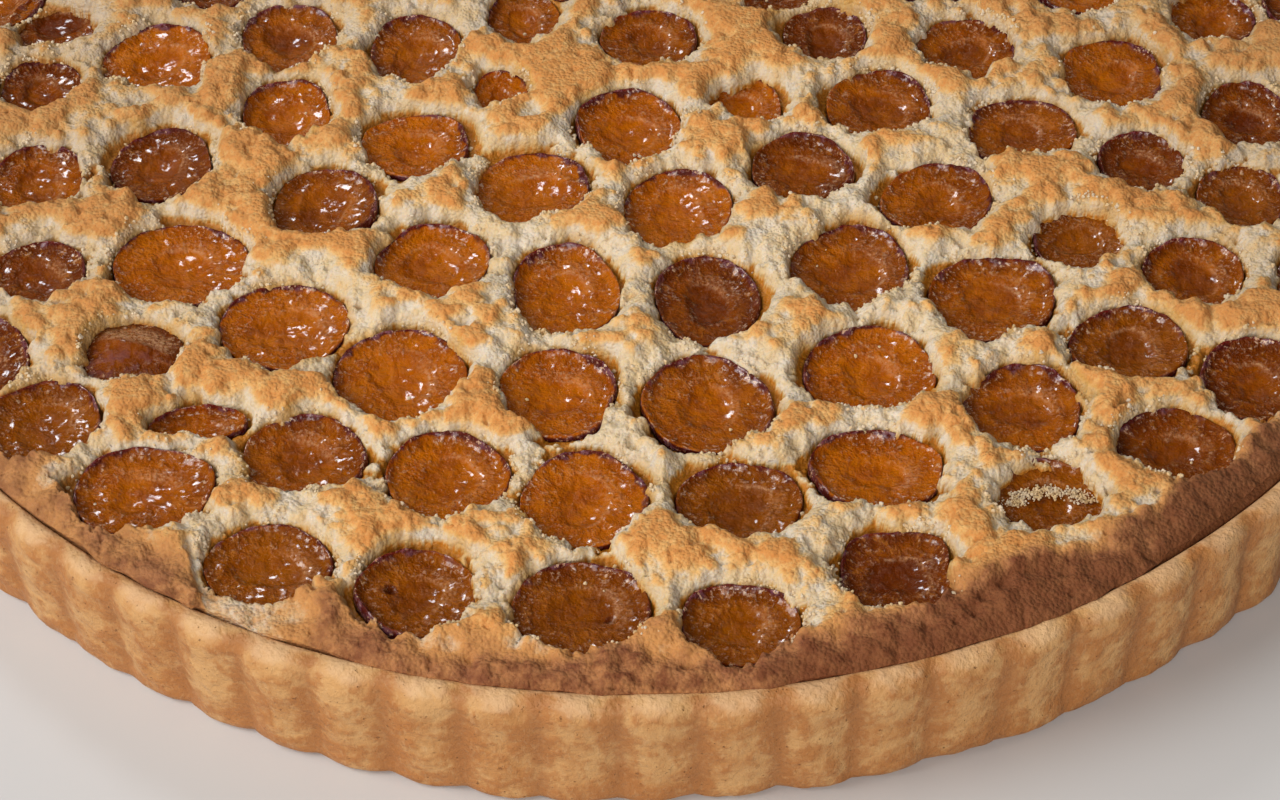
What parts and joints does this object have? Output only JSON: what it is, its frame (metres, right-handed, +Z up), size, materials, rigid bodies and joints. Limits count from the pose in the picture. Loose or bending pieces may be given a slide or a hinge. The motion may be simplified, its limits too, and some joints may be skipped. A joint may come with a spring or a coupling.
{
  "type": "plum tart",
  "caption": "Whole round plum tart: fluted shortcrust case, golden almond batter risen into pillows, and halved yellow plums set in it cut side up in rings.",
  "frame": {"origin": "middle of the flat underside, on the surface the tart rests on", "axes": "+Z up out of the filling; -Y towards the side seen first; +X to the right of it"},
  "size_m": [0.3198, 0.32, 0.0303],
  "materials": {
    "pastry": "baked, matt",
    "batter": "crumbly, matt, browned on top",
    "plum": "wet, glossy"
  },
  "bodies": {
    "root": {"batter": "batter", "pastry_case": "pastry", "plum_a03": "plum", "plum_a04": "plum", "plum_a05": "plum", "plum_a06": "plum", "plum_a07": "plum", "plum_a08": "plum", "plum_a09": "plum", "plum_a10": "plum", "plum_a11": "plum", "plum_a12": "plum", "plum_b02": "plum", "plum_b03": "plum", "plum_b04": "plum", "plum_b05": "plum", "plum_b06": "plum", "plum_b07": "plum", "plum_b08": "plum", "plum_b09": "plum", "plum_b10": "plum", "plum_b11": "plum", "plum_b12": "plum", "plum_b13": "plum", "plum_b14": "plum", "plum_b15": "plum", "plum_b16": "plum", "plum_b17": "plum", "plum_c01": "plum", "plum_c02": "plum", "plum_c03": "plum", "plum_c04": "plum", "plum_c05": "plum", "plum_c06": "plum", "plum_c07": "plum", "plum_c08": "plum", "plum_c09": "plum", "plum_c10": "plum", "plum_c11": "plum", "plum_c12": "plum", "plum_d01": "plum", "plum_d02": "plum", "plum_d03": "plum", "plum_d04": "plum", "plum_d05": "plum", "plum_d06": "plum", "plum_d07": "plum", "plum_d08": "plum", "plum_d09": "plum", "plum_d10": "plum", "plum_e01": "plum", "plum_e02": "plum", "plum_e03": "plum", "plum_e04": "plum", "plum_e05": "plum", "plum_e06": "plum", "plum_e07": "plum", "plum_e08": "plum", "plum_f02": "plum", "plum_f04": "plum"}
  },
  "joints": []
}
